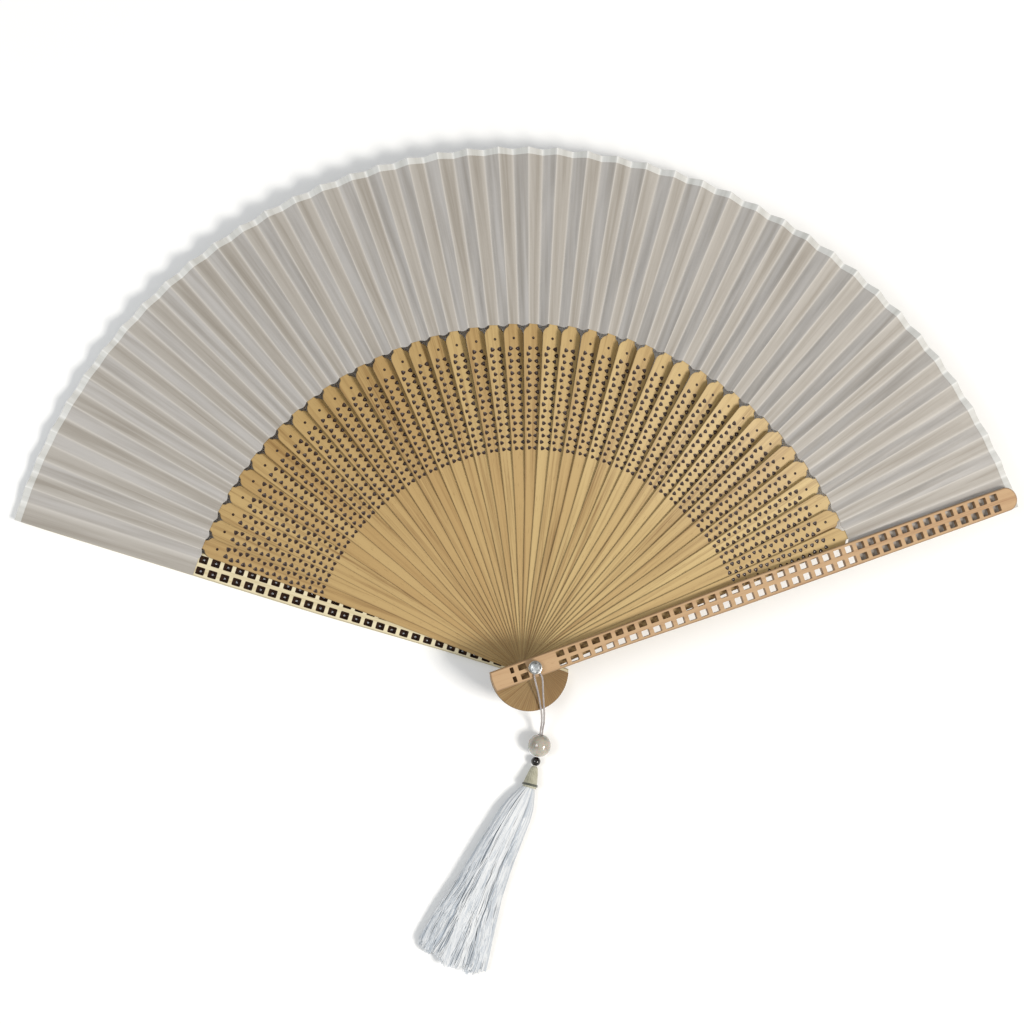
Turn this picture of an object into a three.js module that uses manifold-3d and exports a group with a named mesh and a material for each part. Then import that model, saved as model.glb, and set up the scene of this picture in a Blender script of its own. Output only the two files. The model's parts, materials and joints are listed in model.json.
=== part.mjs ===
// Sandalwood folding fan with a pleated silk leaf and a silk tassel.
//
// Millimetres, +Z up. The fan lies open and flat on its back guard: the underside of the back guard and
// of the rivet's back head is z = 0, the rivet's axis is the Z axis, and the open fan is symmetric about
// the Y axis. The sticks are stacked on the rivet like the pages of a book: stick 1 lies on the back guard
// at the left, each next stick lies one step further clockwise and one step higher, and the front guard
// is on top at the right. Each stick has a wide blade below the leaf and a narrow slip under the leaf.
import * as THREE from 'three';
import { mergeVertices } from 'three/addons/utils/BufferGeometryUtils.js';
import Module from 'manifold-3d';

const wasm = await Module();
wasm.setup();

const { degToRad, lerp } = THREE.MathUtils;
const point = (x, y, z) => new THREE.Vector3(x, y, z);

// --- Driving dimensions -------------------------------------------------------------------------------

const STICK_COUNT = 42;
const FOLD_STEP = degToRad(3.34); // between neighbouring sticks of the open fan
const HEAD_LENGTH = 16.3; // rivet to the round end of every stick and guard
const TIP_RADIUS = 195; // rivet to the tip of a guard

const GUARD_THICKNESS = 2.3;
const GUARD_GAP = 0.35; // guard to the stick next to it
const BLADE_THICKNESS = 0.34;
const SLIP_THICKNESS = 0.25;
const STICK_PITCH = 0.5; // height of one stick above the one below

const LEAF_INNER = 128;
const LEAF_OUTER = 194.8;
const LEAF_THICKNESS = 0.16;
const LEAF_GAP = 0.12; // leaf to the slips and guards it is glued to
const EDGING_WIDTH = 3.2;
const EDGING_LIP = 0.5; // how far the edging stands past the leaf
const EDGING_THICKNESS = 0.2;
const EDGING_GAP = 0.08;

const TILT = 0.38; // slope across a stick that stands fully tilted, like a louvre
const TILT_START = 60; // distance from the rivet where the twist of a stick begins
const TILT_END = 127; // and where it is complete
const TILT_RAMP = 10; // sticks from each guard over which the tilt grows

const RIVET_RADIUS = 1.5;
const RIVET_HOLE_RADIUS = 1.9;
const RIVET_HEAD_RADIUS = 3;
const RIVET_HEAD_THICKNESS = 0.9;
const NECK_HEIGHT = 0.9; // free rivet neck above the front guard, where the cord is looped
const ASSEMBLY_GAP = 0.05; // between stacked faces of the rivet's pieces
const BORE_SIDES = 12;

// --- Places that follow from the dimensions -----------------------------------------------------------

const FRONT_GUARD = STICK_COUNT + 1; // index of the front guard; the back guard is index 0
const SPREAD = FRONT_GUARD * FOLD_STEP;
const FIRST_STICK_Z = GUARD_THICKNESS + GUARD_GAP;
const FRONT_GUARD_Z = stickZ(STICK_COUNT) + BLADE_THICKNESS + GUARD_GAP;
const STACK_TOP = FRONT_GUARD_Z + GUARD_THICKNESS;

// Direction in which a stick or guard points from the rivet.
function bodyAngle(index) {
  return Math.PI / 2 + SPREAD / 2 - index * FOLD_STEP;
}

function stickZ(index) {
  return FIRST_STICK_Z + (index - 1) * STICK_PITCH;
}

// Slope across a stick at a distance from the rivet: its left edge stands high and its right edge low.
function tiltAt(index, along) {
  const share = Math.min(1, index / TILT_RAMP, (FRONT_GUARD - index) / TILT_RAMP);
  const twist = THREE.MathUtils.clamp((along - TILT_START) / (TILT_END - TILT_START), 0, 1);
  return TILT * share * twist;
}

// --- Geometry helpers ---------------------------------------------------------------------------------

// Closed solid through a row of rings with equal point counts, each counter-clockwise about the way the
// row runs.
function loft(rings) {
  const count = rings[0].length;
  const index = [];
  for (let ring = 0; ring + 1 < rings.length; ring += 1) {
    for (let side = 0; side < count; side += 1) {
      const here = ring * count + side;
      const next = ring * count + ((side + 1) % count);
      index.push(here, next, next + count, here, next + count, here + count);
    }
  }
  const last = (rings.length - 1) * count;
  for (let side = 1; side + 1 < count; side += 1) {
    index.push(0, side + 1, side);
    index.push(last, last + side, last + side + 1);
  }
  const geometry = new THREE.BufferGeometry();
  const positions = rings.flat().flatMap((corner) => corner.toArray());
  geometry.setAttribute('position', new THREE.Float32BufferAttribute(positions, 3));
  geometry.setIndex(index);
  return geometry;
}

function toManifold(geometry) {
  const bare = geometry.clone();
  bare.deleteAttribute('normal');
  bare.deleteAttribute('uv');
  const merged = mergeVertices(bare, 1e-5);
  return new wasm.Manifold(new wasm.Mesh({
    numProp: 3,
    vertProperties: new Float32Array(merged.attributes.position.array),
    triVerts: new Uint32Array(merged.index.array),
  }));
}

function fromManifold(solid) {
  const mesh = solid.getMesh();
  const geometry = new THREE.BufferGeometry();
  geometry.setAttribute('position', new THREE.BufferAttribute(mesh.vertProperties, 3));
  geometry.setIndex(new THREE.BufferAttribute(mesh.triVerts, 1));
  return geometry;
}

function cut(geometry, ...tools) {
  return fromManifold(tools.reduce((solid, tool) => solid.subtract(toManifold(tool)), toManifold(geometry)));
}

// Corners of a regular polygon about the origin.
function polygon(radius, sides) {
  return Array.from({ length: sides }, (_, side) => {
    const angle = (side / sides) * 2 * Math.PI;
    return new THREE.Vector2(radius * Math.cos(angle), radius * Math.sin(angle));
  });
}

// Upright cylinder between two heights.
function post(radius, low, high, sides) {
  const geometry = new THREE.CylinderGeometry(radius, radius, high - low, sides);
  geometry.rotateX(Math.PI / 2);
  geometry.translate(0, 0, (low + high) / 2);
  return geometry;
}

// Solid of revolution about Z from a profile of [radius, height] pairs that starts and ends on the axis.
function turned(profile, sides) {
  const geometry = new THREE.LatheGeometry(profile.map(([r, z]) => new THREE.Vector2(r, z)), sides);
  geometry.rotateX(Math.PI / 2);
  return geometry;
}

const fan = new THREE.Group();

function add(parent, name, geometry, color, roughness, metalness = 0) {
  const material = new THREE.MeshStandardMaterial({ color, roughness, metalness });
  const mesh = new THREE.Mesh(geometry, material);
  mesh.name = name;
  parent.add(mesh);
  return mesh;
}

// --- Guards -------------------------------------------------------------------------------------------

const GUARD_HALF_WIDTH = 4.5;
const GUARD_HEAD_HALF_WIDTH = 3.65;
const GUARD_WAIST = 30; // the guard widens from here
const GUARD_FULL = 80; // to here
const GUARD_ARC_STEPS = 5;
const HOLE_FIRST = 10.5;
const HOLE_LAST = TIP_RADIUS - 9;
const HOLE_COUNT = 39; // in each of the two rows
const HOLE_ROW = 0.47; // row's distance from the centre line, as a share of the half width
const HOLE_WIDTH = 0.58; // across the guard, as a share of the half width
const HOLE_LENGTH = 3;
const HEAD_HOLES = [[-4.2, HOLE_LENGTH], [-8.1, 1.4]]; // [place, length] on the head's side of the rivet

function guardHalfWidth(along) {
  const share = THREE.MathUtils.clamp((along - GUARD_WAIST) / (GUARD_FULL - GUARD_WAIST), 0, 1);
  return lerp(GUARD_HEAD_HALF_WIDTH, GUARD_HALF_WIDTH, share);
}

// Block that cuts one hole through a guard.
function guardHole(along, side, length) {
  const half = guardHalfWidth(along);
  const block = new THREE.BoxGeometry(HOLE_WIDTH * half, length, 2 * GUARD_THICKNESS);
  block.translate(side * HOLE_ROW * half, along, GUARD_THICKNESS / 2);
  return block;
}

function guardGeometry() {
  const headAngle = Math.asin(GUARD_HEAD_HALF_WIDTH / HEAD_LENGTH);
  const outline = new THREE.Shape();
  outline.moveTo(GUARD_HEAD_HALF_WIDTH, GUARD_WAIST);
  outline.lineTo(GUARD_HALF_WIDTH, GUARD_FULL);
  outline.absarc(0, TIP_RADIUS - GUARD_HALF_WIDTH, GUARD_HALF_WIDTH, 0, Math.PI);
  outline.lineTo(-GUARD_HALF_WIDTH, GUARD_FULL);
  outline.lineTo(-GUARD_HEAD_HALF_WIDTH, GUARD_WAIST);
  outline.absarc(0, 0, HEAD_LENGTH, -Math.PI / 2 - headAngle, headAngle - Math.PI / 2);
  const bar = new THREE.ExtrudeGeometry(outline, {
    depth: GUARD_THICKNESS,
    bevelEnabled: false,
    curveSegments: GUARD_ARC_STEPS,
  });
  const tools = [post(RIVET_HOLE_RADIUS, -1, GUARD_THICKNESS + 1, BORE_SIDES)];
  for (const side of [-1, 1]) {
    tools.push(...HEAD_HOLES.map(([along, length]) => guardHole(along, side, length)));
    for (let hole = 0; hole < HOLE_COUNT; hole += 1) {
      tools.push(guardHole(lerp(HOLE_FIRST, HOLE_LAST, hole / (HOLE_COUNT - 1)), side, HOLE_LENGTH));
    }
  }
  return cut(bar, ...tools);
}

function place(mesh, index, height) {
  mesh.rotation.z = bodyAngle(index) - Math.PI / 2;
  mesh.position.z = height;
}

// The back guard is counterbored so that the rivet's back head lies flush with its underside.
const HEAD_RECESS_RADIUS = RIVET_HEAD_RADIUS + 0.25;
const HEAD_RECESS_DEPTH = RIVET_HEAD_THICKNESS + 2 * ASSEMBLY_GAP;
const headRecess = post(HEAD_RECESS_RADIUS, -1, HEAD_RECESS_DEPTH, 2 * BORE_SIDES);
place(add(fan, 'back_guard', cut(guardGeometry(), headRecess), 0xe1d7b9, 0.6), 0, 0);
place(add(fan, 'front_guard', guardGeometry(), 0xcda582, 0.55), FRONT_GUARD, FRONT_GUARD_Z);

// --- Sticks -------------------------------------------------------------------------------------------

const HEAD_HALF_WIDTH = 3.2;
const WAIST = [TILT_START, 2.55]; // [distance from the rivet, half width]
const PIERCED_START = [83, 2.75];
const SHOULDER = [124, 3.9];
const SHOULDER_RADIUS = 3.2;
const SLIP_HALF_WIDTH = 1.7;
const SLIP_NECK = 127.6; // where the slip begins
const SLIP_TIP = [LEAF_OUTER - 6, 1.2];
const HEAD_ARC = [0.06, 0.13, Math.asin(HEAD_HALF_WIDTH / HEAD_LENGTH)]; // flats of the head's round end
const SHOULDER_ARC = [0, 0.6, 1.1]; // angles of the flats that round a shoulder

// Rows of [distance from the rivet, half width, thickness] from the head to the tip.
function stickStations() {
  const head = HEAD_ARC.map((angle) => [
    -HEAD_LENGTH * Math.cos(angle),
    HEAD_LENGTH * Math.sin(angle),
    BLADE_THICKNESS,
  ]);
  const middle = [(PIERCED_START[0] + SHOULDER[0]) / 2, (PIERCED_START[1] + SHOULDER[1]) / 2];
  const blade = [WAIST, PIERCED_START, middle].map(([along, half]) => [along, half, BLADE_THICKNESS]);
  const shoulder = SHOULDER_ARC.map((angle) => [
    SHOULDER[0] + SHOULDER_RADIUS * Math.sin(angle),
    SHOULDER[1] - SHOULDER_RADIUS * (1 - Math.cos(angle)),
    BLADE_THICKNESS,
  ]);
  return [
    ...head,
    ...blade,
    ...shoulder,
    [TILT_END, SLIP_HALF_WIDTH, SLIP_THICKNESS],
    [SLIP_NECK, SLIP_HALF_WIDTH, SLIP_THICKNESS],
    [...SLIP_TIP, SLIP_THICKNESS],
  ];
}

function stickGeometry(index) {
  const rings = stickStations().map(([along, half, thickness]) => {
    const rise = half * tiltAt(index, along);
    return [
      point(-half, along, thickness + rise),
      point(half, along, thickness - rise),
      point(half, along, -rise),
      point(-half, along, rise),
    ];
  });
  return cut(loft(rings), post(RIVET_HOLE_RADIUS, -1, 1, BORE_SIDES));
}

for (let index = 1; index <= STICK_COUNT; index += 1) {
  const name = `stick_${String(index).padStart(2, '0')}`;
  place(add(fan, name, stickGeometry(index), 0xc8aa73, 0.6), index, stickZ(index));
}

// --- Leaf and its edging ------------------------------------------------------------------------------

const QUARTER_FOLD = FOLD_STEP / 4; // half of a glued panel, and half of a free one
const LEAF_SIDE_MARGIN = 0.1; // the leaf's end stops this far inside the back guard's edge
const LEAF_TUCK = 4.3; // how far past the front guard's centre line the leaf runs under it

// A place beside a stick or guard: along its axis, across it (clockwise) and up.
function besideBody(index, along, across, height) {
  const angle = bodyAngle(index);
  return point(
    along * Math.cos(angle) + across * Math.sin(angle),
    along * Math.sin(angle) - across * Math.cos(angle),
    height,
  );
}

// Height of the leaf's underside where it is glued to a guard or slip.
function leafSeat(index) {
  if (index === 0) return GUARD_THICKNESS + LEAF_GAP;
  if (index === FRONT_GUARD) return FRONT_GUARD_Z - LEAF_GAP - LEAF_THICKNESS;
  return stickZ(index) + SLIP_THICKNESS + LEAF_GAP;
}

// A fold of the leaf as a function of the distance from the rivet, on one side of a stick's centre line.
function foldBeside(index, side) {
  return (radius) => {
    const across = side * radius * Math.sin(QUARTER_FOLD);
    const height = leafSeat(index) - across * tiltAt(index, radius);
    return besideBody(index, radius * Math.cos(QUARTER_FOLD), across, height);
  };
}

// Every fold from the back guard to the front guard, with the leaf's two ends.
function leafFolds() {
  const endAcross = LEAF_SIDE_MARGIN - GUARD_HALF_WIDTH;
  const folds = [(radius) => besideBody(0, radius, endAcross, leafSeat(0)), foldBeside(0, 1)];
  for (let index = 1; index <= STICK_COUNT; index += 1) {
    folds.push(foldBeside(index, -1), foldBeside(index, 1));
  }
  folds.push(foldBeside(FRONT_GUARD, -1));
  folds.push((radius) => besideBody(FRONT_GUARD, radius, LEAF_TUCK, leafSeat(FRONT_GUARD)));
  return folds;
}

function pleatedBand(inner, outer, lift, thickness) {
  const raised = (corner, height) => corner.clone().add(point(0, 0, height));
  return loft(leafFolds().map((fold) => [
    raised(fold(outer), lift),
    raised(fold(outer), lift + thickness),
    raised(fold(inner), lift + thickness),
    raised(fold(inner), lift),
  ]));
}

add(fan, 'silk_leaf', pleatedBand(LEAF_INNER, LEAF_OUTER, 0, LEAF_THICKNESS), 0xbfbab2, 0.7);

// The edging lies on the leaf's outer border; at the front guard it stays below the guard.
const EDGING_END_DROP = 1;

function edgingGeometry() {
  const geometry = pleatedBand(
    LEAF_OUTER + EDGING_LIP - EDGING_WIDTH,
    LEAF_OUTER + EDGING_LIP,
    LEAF_THICKNESS + EDGING_GAP,
    EDGING_THICKNESS,
  );
  return cut(geometry, guardClearance());
}

// Room kept free for the front guard over the edging.
function guardClearance() {
  const width = 2 * (GUARD_HALF_WIDTH + EDGING_END_DROP);
  const block = new THREE.BoxGeometry(width, TIP_RADIUS, 4 * EDGING_END_DROP);
  block.translate(0, TIP_RADIUS / 2, 0);
  block.rotateZ(bodyAngle(FRONT_GUARD) - Math.PI / 2);
  block.translate(0, 0, FRONT_GUARD_Z);
  return block;
}

add(fan, 'leaf_edging', edgingGeometry(), 0xe6e4de, 0.7);

// --- Rivet --------------------------------------------------------------------------------------------

const PIN_TOP = STACK_TOP + NECK_HEIGHT;
const BEZEL_RADIUS = 2.5;
const BEZEL_HEIGHT = 1.1;
const BEZEL_WALL = 0.4;
const BEZEL_FLOOR = 0.5;
const CRYSTAL_RADIUS = BEZEL_RADIUS - BEZEL_WALL - ASSEMBLY_GAP;
const CRYSTAL_HEIGHT = 1.5;
const CRYSTAL_TABLE_RADIUS = 1.1;
const CRYSTAL_GIRDLE = 0.6;
const PIN_FOOT = RIVET_HEAD_THICKNESS + ASSEMBLY_GAP;
const BEZEL_FOOT = PIN_TOP + ASSEMBLY_GAP;
const CRYSTAL_FOOT = BEZEL_FOOT + BEZEL_FLOOR + ASSEMBLY_GAP;

add(fan, 'rivet_back_head', post(RIVET_HEAD_RADIUS, 0, RIVET_HEAD_THICKNESS, 2 * BORE_SIDES),
  0xb8b4aa, 0.35, 1);
add(fan, 'rivet_pin', post(RIVET_RADIUS, PIN_FOOT, PIN_TOP, BORE_SIDES), 0xb8b4aa, 0.35, 1);

const bezelProfile = [
  [0, 0],
  [BEZEL_RADIUS - BEZEL_WALL, 0],
  [BEZEL_RADIUS, BEZEL_WALL],
  [BEZEL_RADIUS, BEZEL_HEIGHT],
  [BEZEL_RADIUS - BEZEL_WALL, BEZEL_HEIGHT],
  [BEZEL_RADIUS - BEZEL_WALL, BEZEL_FLOOR],
  [0, BEZEL_FLOOR],
];
add(fan, 'rivet_bezel', turned(bezelProfile, 2 * BORE_SIDES), 0xc9c7c2, 0.25, 1).position.z = BEZEL_FOOT;

const crystalProfile = [
  [0, 0],
  [CRYSTAL_RADIUS, 0],
  [CRYSTAL_RADIUS, CRYSTAL_GIRDLE],
  [CRYSTAL_TABLE_RADIUS, CRYSTAL_HEIGHT],
  [0, CRYSTAL_HEIGHT],
];
add(fan, 'rivet_crystal', turned(crystalProfile, 8), 0xdfe6e8, 0.08).position.z = CRYSTAL_FOOT;

// --- Tassel -------------------------------------------------------------------------------------------
// The cord's loop leaves the rivet's neck as two strands. They run over the edge of the front guard, down
// the fanned heads and over their rim into the stone bead. The bead, the cap and the skirt lie on the
// surface that the fan lies on.

const CORD_DIAMETER = 0.7;
const CORD_SIDES = 8;
const CORD_STEPS = 30;

const LEFT_STRAND = [
  point(-0.3, -2.3, 26.6),
  point(-0.05, -4.1, 26.6),
  point(0.61, -5.9, 24.6),
  point(1.7, -8.2, 20.2),
  point(2.72, -11.0, 16.5),
  point(3.43, -13.8, 14.5),
  point(3.96, -16.4, 13.25),
  point(4.43, -18.7, 10.9),
  point(4.77, -20.8, 7.9),
  point(4.76, -23.0, 5.8),
  point(4.6, -24.8, 5.0),
  point(4.4, -26.4, 4.8),
];
const RIGHT_STRAND = [
  point(1.7, -1.7, 26.6),
  point(2.6, -3.6, 26.6),
  point(3.1, -5.6, 24.6),
  point(3.75, -8.0, 20.2),
  point(4.35, -10.8, 16.5),
  point(4.76, -13.7, 14.5),
  point(5.04, -16.4, 13.25),
  point(5.35, -18.8, 10.9),
  point(5.66, -21.0, 7.9),
  point(5.55, -23.1, 5.8),
  point(5.38, -24.9, 5.0),
  point(5.18, -26.5, 4.8),
];

function cordGeometry(route) {
  return new THREE.ExtrudeGeometry(new THREE.Shape(polygon(CORD_DIAMETER / 2, CORD_SIDES)), {
    steps: CORD_STEPS,
    extrudePath: new THREE.CatmullRomCurve3(route),
  });
}

add(fan, 'tassel_cord_left', cordGeometry(LEFT_STRAND), 0xa9a3a6, 0.6);
add(fan, 'tassel_cord_right', cordGeometry(RIGHT_STRAND), 0xa9a3a6, 0.6);

// Turns a piece made about Z so that its axis runs from one place towards another.
function aim(mesh, from, towards) {
  const direction = towards.clone().sub(from).normalize();
  mesh.quaternion.setFromUnitVectors(point(0, 0, 1), direction);
  mesh.position.copy(from);
  return mesh;
}

const BEAD_RADIUS = 4.25;
const BEAD_BORE = 1.15;
const BEAD_FLOOR_GAP = 0.05;
const SPACER_RADIUS = 1.75;
const SPACER_BORE = 0.5;
const beadCentre = point(4.31, -29.6, BEAD_RADIUS + BEAD_FLOOR_GAP);
const beadMouth = point(4.85, -25.3, 4.8);
const spacerCentre = point(3.05, -35.6, 2.5);
const capTop = point(2.54, -37.7, 2.6);
const capFoot = point(0.3, -45.2, 3.1);
const skirtFoot = point(-31, -109, 3);

// Ball with a bore through it, as a closed profile.
function beadGeometry(radius, bore, sides) {
  const start = Math.asin(bore / radius);
  const steps = sides / 2;
  const profile = [];
  for (let step = 0; step <= steps; step += 1) {
    const angle = lerp(start, Math.PI - start, step / steps);
    profile.push([radius * Math.sin(angle), -radius * Math.cos(angle)]);
  }
  profile.push(profile[0]);
  return turned(profile, sides);
}

const BEAD_SIDES = 16;
const SPACER_SIDES = 12;
const bead = add(fan, 'stone_bead', beadGeometry(BEAD_RADIUS, BEAD_BORE, BEAD_SIDES), 0xb9b8b0, 0.2);
aim(bead, beadCentre, beadMouth);
const spacerGeometry = beadGeometry(SPACER_RADIUS, SPACER_BORE, SPACER_SIDES);
const spacer = add(fan, 'spacer_bead', spacerGeometry, 0x14110f, 0.15);
aim(spacer, spacerCentre, capTop);

const CAP_TOP_RADIUS = 1.5;
const CAP_FOOT_RADIUS = 2.7;
const CAP_MOUTH_RADIUS = 1;
const CAP_ROUNDING = 0.6;
const CAP_SIDES = 12;
const CAP_LENGTH = capTop.distanceTo(capFoot);
const BINDING_RADIUS = 0.35;
const BINDING_BITE = 0.02; // how far the binding sinks into the cap
const BINDING_SIDES = 6;
const BINDING_PLACE = CAP_LENGTH - 1;
const capProfile = [
  [0, 0],
  [CAP_MOUTH_RADIUS, 0],
  [CAP_TOP_RADIUS, CAP_ROUNDING],
  [CAP_FOOT_RADIUS, CAP_LENGTH],
  [0, CAP_LENGTH],
];
aim(add(fan, 'tassel_cap', turned(capProfile, CAP_SIDES), 0xb9ad8d, 0.8), capTop, capFoot);

function bindingGeometry() {
  const middle = CAP_FOOT_RADIUS + BINDING_RADIUS - BINDING_BITE;
  const profile = [];
  for (let step = 0; step <= BINDING_SIDES; step += 1) {
    const angle = (step / BINDING_SIDES) * 2 * Math.PI;
    const radius = middle + BINDING_RADIUS * Math.cos(angle);
    profile.push([radius, BINDING_PLACE + BINDING_RADIUS * Math.sin(angle)]);
  }
  return turned(profile, CAP_SIDES);
}

aim(add(fan, 'tassel_binding', bindingGeometry(), 0x5d6155, 0.8), capTop, capFoot);

// The skirt lies on the surface as a flat fan of threads: rows of [share of its length, half width, half
// height].
const SKIRT_SIDES = 14;
const SKIRT_START_GAP = 0.7;
const SKIRT_FLOOR_GAP = 0.1;
const SKIRT_SECTIONS = [
  [0, 2.8, 2.5],
  [0.15, 5.4, 3],
  [0.4, 7.8, 3.4],
  [0.7, 11, 3.3],
  [0.92, 13.6, 2.8],
  [1, 12.6, 2.4],
];

function skirtGeometry() {
  const axis = skirtFoot.clone().sub(capFoot).setZ(0).normalize();
  const across = point(-axis.y, axis.x, 0);
  const start = capFoot.clone().addScaledVector(axis, SKIRT_START_GAP);
  const rings = SKIRT_SECTIONS.map(([share, halfWidth, halfHeight]) => {
    const centre = start.clone().lerp(skirtFoot, share).setZ(halfHeight + SKIRT_FLOOR_GAP);
    const ring = [];
    for (let side = 0; side < SKIRT_SIDES; side += 1) {
      const angle = (side / SKIRT_SIDES) * 2 * Math.PI;
      const corner = centre.clone().addScaledVector(across, halfWidth * Math.cos(angle));
      ring.push(corner.add(point(0, 0, halfHeight * Math.sin(angle))));
    }
    return ring;
  });
  return loft(rings);
}

add(fan, 'tassel_skirt', skirtGeometry(), 0xd4d8dc, 0.6);

export default fan;
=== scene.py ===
import json
import math
import random

import bpy
from mathutils import Matrix, Vector, noise
from mathutils.geometry import delaunay_2d_cdt


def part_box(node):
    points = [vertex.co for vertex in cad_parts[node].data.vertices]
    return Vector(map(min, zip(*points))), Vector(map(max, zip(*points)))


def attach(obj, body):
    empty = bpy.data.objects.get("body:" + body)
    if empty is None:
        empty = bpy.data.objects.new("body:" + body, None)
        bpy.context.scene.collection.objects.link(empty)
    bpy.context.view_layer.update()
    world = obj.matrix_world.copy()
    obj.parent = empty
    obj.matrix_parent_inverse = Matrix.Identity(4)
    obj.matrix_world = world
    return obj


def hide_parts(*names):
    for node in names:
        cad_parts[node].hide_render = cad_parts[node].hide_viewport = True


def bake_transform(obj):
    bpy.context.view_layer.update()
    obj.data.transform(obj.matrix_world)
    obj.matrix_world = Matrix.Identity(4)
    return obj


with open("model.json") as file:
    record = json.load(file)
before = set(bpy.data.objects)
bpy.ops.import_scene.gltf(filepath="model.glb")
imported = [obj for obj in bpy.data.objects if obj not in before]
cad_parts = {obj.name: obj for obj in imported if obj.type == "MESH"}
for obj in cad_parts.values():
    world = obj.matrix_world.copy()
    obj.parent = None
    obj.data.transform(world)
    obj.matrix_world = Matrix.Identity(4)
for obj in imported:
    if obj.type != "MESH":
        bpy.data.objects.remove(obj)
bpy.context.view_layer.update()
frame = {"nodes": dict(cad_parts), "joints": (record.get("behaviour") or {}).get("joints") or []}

MM = 0.001
RANDOM = random.Random(20)

# --- Sizes: those of the CAD frame ---

STICK_NAMES = sorted(name for name in frame["nodes"] if name.startswith("stick_"))
STICK_COUNT = len(STICK_NAMES)
FRONT_GUARD = STICK_COUNT + 1
FOLD_STEP = math.radians(next(j for j in frame["joints"] if j["name"] == "fold")["range_deg"][1])
SPREAD = FRONT_GUARD * FOLD_STEP

GUARD_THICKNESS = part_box("back_guard")[1].z / MM
FRONT_GUARD_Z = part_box("front_guard")[0].z / MM
HEAD_LENGTH = 16.3
TIP_RADIUS = 195
BLADE_THICKNESS = 0.34
SLIP_THICKNESS = 0.25
STICK_PITCH = 0.5
GUARD_GAP = 0.35
FIRST_STICK_Z = GUARD_THICKNESS + GUARD_GAP
TILT = 0.38
TILT_START = 60
TILT_END = 127
TILT_RAMP = 10
LEAF_INNER = 128
LEAF_OUTER = 194.8
LEAF_GAP = 0.12
RIVET_HOLE_RADIUS = 1.9


def srgb(red, green, blue):
    """A colour given as 8-bit sRGB, as the linear RGBA that Blender takes."""
    def linear(value):
        share = value / 255
        return share / 12.92 if share <= 0.04045 else ((share + 0.055) / 1.055) ** 2.4
    return (linear(red), linear(green), linear(blue), 1.0)


def clamp(value, low=0.0, high=1.0):
    return max(low, min(high, value))


def lerp(a, b, share):
    return a + (b - a) * share


def piecewise(points, at):
    """Straight-line interpolation through (place, value) points."""
    for (place_a, value_a), (place_b, value_b) in zip(points, points[1:]):
        if at <= place_b:
            return lerp(value_a, value_b, clamp((at - place_a) / (place_b - place_a)))
    return points[-1][1]


def body_angle(index):
    return math.pi / 2 + SPREAD / 2 - index * FOLD_STEP


def stick_z(index):
    return FIRST_STICK_Z + (index - 1) * STICK_PITCH


def tilt_at(index, along):
    share = min(1, index / TILT_RAMP, (FRONT_GUARD - index) / TILT_RAMP)
    return TILT * share * clamp((along - TILT_START) / (TILT_END - TILT_START))


def beside(index, along, across, height):
    """A place beside a stick or guard, in the row frame."""
    angle = body_angle(index)
    return Vector((
        along * math.cos(angle) + across * math.sin(angle),
        along * math.sin(angle) - across * math.cos(angle),
        height,
    ))


# --- Camera ---

SENSOR = 36
LENS = 56.25
CAMERA_DISTANCE = 597.3
CAMERA_AIM = Vector((-5.2, 57.53, 10))
CAMERA_PITCH = math.radians(-4.15)
CAMERA_TILT = math.radians(7.11)
CAMERA_ROLL = math.radians(0.5)


def make_camera():
    turn = (
        Matrix.Rotation(CAMERA_ROLL, 3, "Z")
        @ Matrix.Rotation(CAMERA_TILT, 3, "Y")
        @ Matrix.Rotation(CAMERA_PITCH, 3, "X")
    ).transposed()
    data = bpy.data.cameras.new("camera")
    data.sensor_width = SENSOR
    data.lens = LENS
    data.clip_start = 0.01
    camera = bpy.data.objects.new("camera", data)
    place = (CAMERA_AIM + turn @ Vector((0, 0, CAMERA_DISTANCE))) * MM
    camera.matrix_world = Matrix.Translation(place) @ turn.to_4x4()
    bpy.context.scene.collection.objects.link(camera)
    bpy.context.scene.camera = camera


make_camera()

# --- Mesh helpers ---


def make_piece(name, points, faces, material, smooth=None, uvs=None, layers=None):
    """A mesh object from points in millimetres. smooth is the angle, in degrees, above which an edge stays
    sharp; uvs has one (u, v) for each point, in metres; layers holds named numbers for each point."""
    mesh = bpy.data.meshes.new(name)
    mesh.from_pydata([Vector(point) * MM for point in points], [], faces)
    for label, values in (layers or {}).items():
        mesh.attributes.new(label, "FLOAT", "POINT").data.foreach_set("value", values)
    if uvs:
        layer = mesh.uv_layers.new(name="UVMap")
        for loop in mesh.loops:
            layer.data[loop.index].uv = uvs[loop.vertex_index]
    if smooth is not None:
        mesh.polygons.foreach_set("use_smooth", [True] * len(mesh.polygons))
        mesh.set_sharp_from_angle(angle=math.radians(smooth))
    mesh.materials.append(material)
    made = bpy.data.objects.new(name, mesh)
    bpy.context.scene.collection.objects.link(made)
    return made


def ring_faces(rings, sides, closed_row=False):
    """Faces of a row of rings of points, with its ends capped unless the row closes on itself."""
    faces = []
    for ring in range(rings if closed_row else rings - 1):
        for side in range(sides):
            here = ring * sides + side
            beyond = ring * sides + (side + 1) % sides
            step = sides if ring + 1 < rings else -sides * (rings - 1)
            faces.append((here, beyond, beyond + step, here + step))
    if not closed_row:
        faces.append(tuple(range(sides))[::-1])
        faces.append(tuple(range((rings - 1) * sides, rings * sides)))
    return faces


def frames_along(line):
    """For each point of a line: two unit vectors across it that turn as little as possible."""
    frames = []
    side = None
    for index, here in enumerate(line):
        ahead = (line[min(index + 1, len(line) - 1)] - line[max(index - 1, 0)]).normalized()
        if side is None:
            side = ahead.orthogonal().normalized()
        side = (side - ahead * side.dot(ahead)).normalized()
        frames.append((side, ahead.cross(side)))
    return frames


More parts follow.
